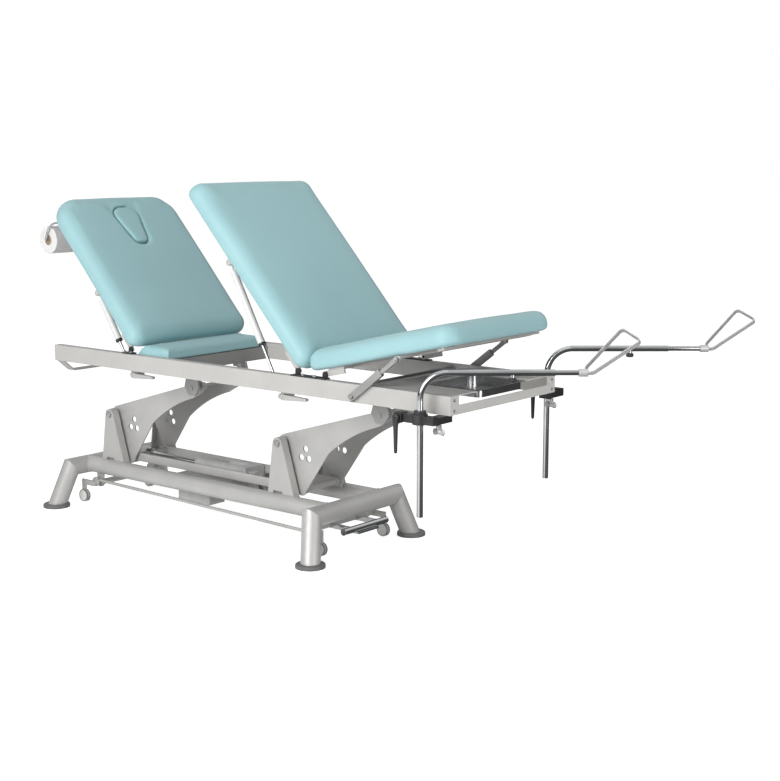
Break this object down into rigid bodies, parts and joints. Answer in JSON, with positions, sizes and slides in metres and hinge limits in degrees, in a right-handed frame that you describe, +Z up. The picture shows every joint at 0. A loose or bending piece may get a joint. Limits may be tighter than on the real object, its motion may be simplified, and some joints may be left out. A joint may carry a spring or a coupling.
{
  "type": "examination table",
  "caption": "Height-adjustable examination table with tilting aqua sections, gas springs, paper roll and two leg supports with stirrups on a tube base",
  "frame": {"origin": "middle of the bounding box, on the floor under the feet", "axes": "+X from the head end to the foot end, +Y across the table away from the picture's viewer, +Z up"},
  "size_m": [2.4912, 1.2251, 1.265],
  "materials": {
    "base_paint": "silver grey metallic powder coat",
    "rail_paint": "light warm grey powder coat",
    "dark_paint": "dark grey paint",
    "black_plastic": "black moulded plastic and black paint",
    "grey_plastic": "light grey moulded plastic",
    "chrome": "polished chrome plate",
    "zinc": "zinc plated steel",
    "stainless": "stainless sheet",
    "vinyl": "aqua upholstery vinyl, satin",
    "rubber": "grey rubber",
    "caster_plastic": "grey tyre on an off-white hub",
    "white_enamel": "white enamel",
    "paper": "white tissue paper, matt"
  },
  "bodies": {
    "base": {"end_frames": "base_paint", "side_tubes": "base_paint", "foot_cups": "rubber", "lift_towers": "base_paint", "pivot_bolts": "zinc", "base_tray": "base_paint", "control_box": "grey_plastic"},
    "caster_bar_foot": {"caster_bar_foot": "base_paint", "caster_pedal": "chrome"},
    "top_frame": {"rails": "rail_paint", "cross_members": "dark_paint", "end_panel": "rail_paint", "hanger_bar": "rail_paint", "hinge_plates": "black_plastic", "filler_cushion": "vinyl", "spring_brackets": "base_paint", "leg_clamps": "black_plastic"},
    "head_section": {"head_frame": "rail_paint", "head_cushion": "vinyl", "roll_holder": "chrome"},
    "back_section": {"back_frame": "rail_paint", "back_cushion": "vinyl"},
    "foot_section": {"foot_frame": "rail_paint", "foot_cushion": "vinyl"},
    "actuator_body": {"actuator_body": "grey_plastic"},
    "actuator_rod": {"actuator_rod": "chrome"},
    "back_release_lever": {"back_release_lever": "base_paint"},
    "back_spring_rod": {"back_spring_rod": "chrome"},
    "back_spring_tube": {"back_spring_tube": "white_enamel"},
    "bar_knob_far": {"bar_knob_far": "black_plastic"},
    "bar_knob_near": {"bar_knob_near": "black_plastic"},
    "bowl": {"bowl": "stainless"},
    "caster_bar_head": {"caster_bar_head": "base_paint"},
    "caster_link": {"caster_link": "base_paint"},
    "caster_wheel_foot_far": {"caster_wheel_foot_far": "caster_plastic"},
    "caster_wheel_foot_near": {"caster_wheel_foot_near": "caster_plastic"},
    "caster_wheel_head_far": {"caster_wheel_head_far": "caster_plastic"},
    "caster_wheel_head_near": {"caster_wheel_head_near": "caster_plastic"},
    "clamp_bush_far": {"clamp_bush_far": "black_plastic"},
    "clamp_bush_near": {"clamp_bush_near": "black_plastic"},
    "clamp_lever_far": {"clamp_lever_far": "black_plastic"},
    "clamp_lever_near": {"clamp_lever_near": "black_plastic"},
    "face_plug": {"face_plug": "vinyl"},
    "head_release_lever": {"head_release_lever": "base_paint"},
    "head_spring_rod": {"head_spring_rod": "chrome"},
    "head_spring_tube": {"head_spring_tube": "white_enamel"},
    "leg_post_far": {"leg_post_far": "chrome"},
    "leg_post_near": {"leg_post_near": "chrome"},
    "lift_arm_foot": {"lift_arm_foot": "base_paint"},
    "lift_arm_head": {"lift_arm_head": "base_paint"},
    "paper_roll": {"paper_roll": "paper"},
    "stirrup_far": {"stirrup_far": "chrome"},
    "stirrup_near": {"stirrup_near": "chrome"},
    "stirrup_rod_far": {"stirrup_rod_far": "chrome"},
    "stirrup_rod_near": {"stirrup_rod_near": "chrome"},
    "strut_channels": {"strut_channels": "zinc"},
    "strut_rods": {"strut_rods": "zinc"},
    "tie_bars": {"tie_bars": "base_paint"},
    "wing_screw_far": {"wing_screw_far": "chrome"},
    "wing_screw_near": {"wing_screw_near": "chrome"}
  },
  "joints": [
    {"name": "lift", "type": "hinge", "parent": "base", "child": "lift_arm_foot", "pos_m": [-0.09459, -0.22655, 0.37], "axis": [0, -1, 0], "range_deg": [-28, 20]},
    {"name": "lift_head_arm", "type": "hinge", "parent": "base", "child": "lift_arm_head", "pos_m": [-0.99659, -0.22655, 0.37], "axis": [0, -1, 0], "range_deg": [-28, 20]},
    {"name": "top_level", "type": "hinge", "parent": "lift_arm_foot", "child": "top_frame", "pos_m": [0.37143, -0.22655, 0.52142], "axis": [0, -1, 0], "range_deg": [-20, 28]},
    {"name": "tie_level", "type": "hinge", "parent": "lift_arm_foot", "child": "tie_bars", "pos_m": [-0.01678, -0.22655, 0.20497], "axis": [0, -1, 0], "range_deg": [-20, 28]},
    {"name": "actuator_tilt", "type": "hinge", "parent": "lift_arm_head", "child": "actuator_rod", "pos_m": [-0.91878, -0.22655, 0.20497], "axis": [0, -1, 0], "range_deg": [-22.3, 31.2]},
    {"name": "actuator_stroke", "type": "slide", "parent": "actuator_rod", "child": "actuator_body", "axis": [0.9999, 0, -0.0156], "range_m": [-0.0561, 0.0785]},
    {"name": "caster_foot_shaft", "type": "hinge", "parent": "base", "child": "caster_bar_foot", "pos_m": [0.07741, -0.22655, 0.089], "axis": [0, 1, 0], "range_deg": [0, 24]},
    {"name": "caster_head_shaft", "type": "hinge", "parent": "base", "child": "caster_bar_head", "pos_m": [-1.06659, -0.22655, 0.089], "axis": [0, -1, 0], "range_deg": [0, 24]},
    {"name": "caster_link_pivot", "type": "hinge", "parent": "caster_bar_foot", "child": "caster_link", "pos_m": [0.07741, -0.37605, 0.077], "axis": [0, 1, 0], "range_deg": [-24, 0]},
    {"name": "caster_wheel_head_near_spin", "type": "hinge", "parent": "caster_bar_head", "child": "caster_wheel_head_near", "pos_m": [-1.12459, -0.39655, 0.034], "axis": [0, 1, 0], "continuous": true},
    {"name": "caster_wheel_head_far_spin", "type": "hinge", "parent": "caster_bar_head", "child": "caster_wheel_head_far", "pos_m": [-1.12459, -0.05655, 0.034], "axis": [0, 1, 0], "continuous": true},
    {"name": "caster_wheel_foot_near_spin", "type": "hinge", "parent": "caster_bar_foot", "child": "caster_wheel_foot_near", "pos_m": [0.13541, -0.39655, 0.034], "axis": [0, 1, 0], "continuous": true},
    {"name": "caster_wheel_foot_far_spin", "type": "hinge", "parent": "caster_bar_foot", "child": "caster_wheel_foot_far", "pos_m": [0.13541, -0.05655, 0.034], "axis": [0, 1, 0], "continuous": true},
    {"name": "head_tilt", "type": "hinge", "parent": "top_frame", "child": "head_section", "pos_m": [-0.70959, -0.22655, 0.665], "axis": [0, 1, 0], "range_deg": [-47.5, 12.5]},
    {"name": "back_tilt", "type": "hinge", "parent": "top_frame", "child": "back_section", "pos_m": [0.12741, -0.22655, 0.665], "axis": [0, 1, 0], "range_deg": [-47.5, 12.5]},
    {"name": "foot_tilt", "type": "hinge", "parent": "top_frame", "child": "foot_section", "pos_m": [0.24841, -0.22655, 0.665], "axis": [0, -1, 0], "range_deg": [-13.1, 7]},
    {"name": "back_spring_pivot", "type": "hinge", "parent": "top_frame", "child": "back_spring_rod", "pos_m": [0.03041, -0.46755, 0.566], "axis": [0, 1, 0], "range_deg": [-47.6, 12.6]},
    {"name": "back_spring_stroke", "type": "slide", "parent": "back_spring_rod", "child": "back_spring_tube", "axis": [-0.478, 0, 0.8784], "range_m": [-0.11026, 0.02939]},
    {"name": "back_release", "type": "hinge", "parent": "top_frame", "child": "back_release_lever", "pos_m": [0.06241, -0.49555, 0.569], "axis": [0, -1, 0], "range_deg": [0, 6], "stiffness_Nm_per_rad": 4},
    {"name": "head_spring_pivot", "type": "hinge", "parent": "top_frame", "child": "head_spring_rod", "pos_m": [-0.72559, -0.46755, 0.566], "axis": [0, 1, 0], "range_deg": [-40, 10.6]},
    {"name": "head_spring_stroke", "type": "slide", "parent": "head_spring_rod", "child": "head_spring_tube", "axis": [-0.5393, 0, 0.8421], "range_m": [-0.06939, 0.01863]},
    {"name": "head_release", "type": "hinge", "parent": "top_frame", "child": "head_release_lever", "pos_m": [-0.69359, -0.49555, 0.569], "axis": [0, -1, 0], "range_deg": [0, 6], "stiffness_Nm_per_rad": 4},
    {"name": "strut_pivot", "type": "hinge", "parent": "top_frame", "child": "strut_channels", "pos_m": [0.39441, -0.22655, 0.61], "axis": [0, -1, 0], "range_deg": [-19, 10.2]},
    {"name": "strut_stroke", "type": "slide", "parent": "strut_channels", "child": "strut_rods", "axis": [0.7951, 0, 0.6064], "range_m": [-0.0288, 0.0156]},
    {"name": "bowl_slide", "type": "slide", "parent": "top_frame", "child": "bowl", "axis": [1, 0, 0], "range_m": [0, 0.2]},
    {"name": "face_plug_lift", "type": "slide", "parent": "head_section", "child": "face_plug", "axis": [0.7373, 0, 0.6756], "range_m": [0, 0.12]},
    {"name": "paper_roll_spin", "type": "hinge", "parent": "head_section", "child": "paper_roll", "pos_m": [-1.1926, -0.22655, 1.04706], "axis": [0, 1, 0], "continuous": true},
    {"name": "leg_swivel_near", "type": "hinge", "parent": "top_frame", "child": "clamp_bush_near", "pos_m": [0.70941, -0.57755, 0.59], "axis": [0, 0, 1], "range_deg": [-100, 0]},
    {"name": "leg_height_near", "type": "slide", "parent": "clamp_bush_near", "child": "leg_post_near", "axis": [0, 0, 1], "range_m": [-0.03, 0.15]},
    {"name": "rod_reach_near", "type": "slide", "parent": "leg_post_near", "child": "stirrup_rod_near", "axis": [0.7749, 0.632, 0], "range_m": [-0.07, 0.03]},
    {"name": "stirrup_turn_near", "type": "hinge", "parent": "stirrup_rod_near", "child": "stirrup_near", "pos_m": [1.09456, -0.26343, 0.725], "axis": [0.7749, 0.632, 0], "range_deg": [-90, 90]},
    {"name": "knob_turn_near", "type": "hinge", "parent": "leg_post_near", "child": "bar_knob_near", "pos_m": [0.92639, -0.40058, 0.705], "axis": [0, 0, 1], "continuous": true},
    {"name": "clamp_lever_turn_near", "type": "hinge", "parent": "top_frame", "child": "clamp_lever_near", "pos_m": [0.63541, -0.60455, 0.582], "axis": [0, 1, 0], "range_deg": [-45, 45]},
    {"name": "wing_screw_turn_near", "type": "hinge", "parent": "top_frame", "child": "wing_screw_near", "pos_m": [0.75141, -0.53855, 0.56], "axis": [0, 0, 1], "continuous": true},
    {"name": "leg_swivel_far", "type": "hinge", "parent": "top_frame", "child": "clamp_bush_far", "pos_m": [0.70941, 0.12445, 0.59], "axis": [0, 0, 1], "range_deg": [-39, 90]},
    {"name": "leg_height_far", "type": "slide", "parent": "clamp_bush_far", "child": "leg_post_far", "axis": [0, 0, 1], "range_m": [-0.03, 0.15]},
    {"name": "rod_reach_far", "type": "slide", "parent": "leg_post_far", "child": "stirrup_rod_far", "axis": [0.7749, 0.632, 0], "range_m": [-0.106, 0]},
    {"name": "stirrup_turn_far", "type": "hinge", "parent": "stirrup_rod_far", "child": "stirrup_far", "pos_m": [1.12323, 0.46195, 0.725], "axis": [0.7749, 0.632, 0], "range_deg": [-90, 90]},
    {"name": "knob_turn_far", "type": "hinge", "parent": "leg_post_far", "child": "bar_knob_far", "pos_m": [0.92639, 0.30142, 0.705], "axis": [0, 0, 1], "continuous": true},
    {"name": "clamp_lever_turn_far", "type": "hinge", "parent": "top_frame", "child": "clamp_lever_far", "pos_m": [0.63541, 0.15145, 0.582], "axis": [0, 1, 0], "range_deg": [-45, 45]},
    {"name": "wing_screw_turn_far", "type": "hinge", "parent": "top_frame", "child": "wing_screw_far", "pos_m": [0.75141, 0.08545, 0.56], "axis": [0, 0, 1], "continuous": true}
  ],
  "couplings": [
    {"joint": "lift_head_arm", "follows": "lift", "ratio": 1},
    {"joint": "top_level", "follows": "lift", "ratio": -1},
    {"joint": "tie_level", "follows": "lift", "ratio": -1},
    {"joint": "actuator_tilt", "follows": "lift", "ratio": -1.11},
    {"joint": "actuator_stroke", "follows": "lift", "m_per_rad": -0.16043},
    {"joint": "caster_head_shaft", "follows": "caster_foot_shaft", "ratio": 1},
    {"joint": "caster_link_pivot", "follows": "caster_foot_shaft", "ratio": -1},
    {"joint": "back_spring_pivot", "follows": "back_tilt", "ratio": 1},
    {"joint": "back_spring_stroke", "follows": "back_tilt", "m_per_rad": 0.1324},
    {"joint": "head_spring_pivot", "follows": "head_tilt", "ratio": 0.84},
    {"joint": "head_spring_stroke", "follows": "head_tilt", "m_per_rad": 0.0831},
    {"joint": "strut_pivot", "follows": "foot_tilt", "ratio": 1.4317},
    {"joint": "strut_stroke", "follows": "foot_tilt", "m_per_rad": 0.1239}
  ]
}
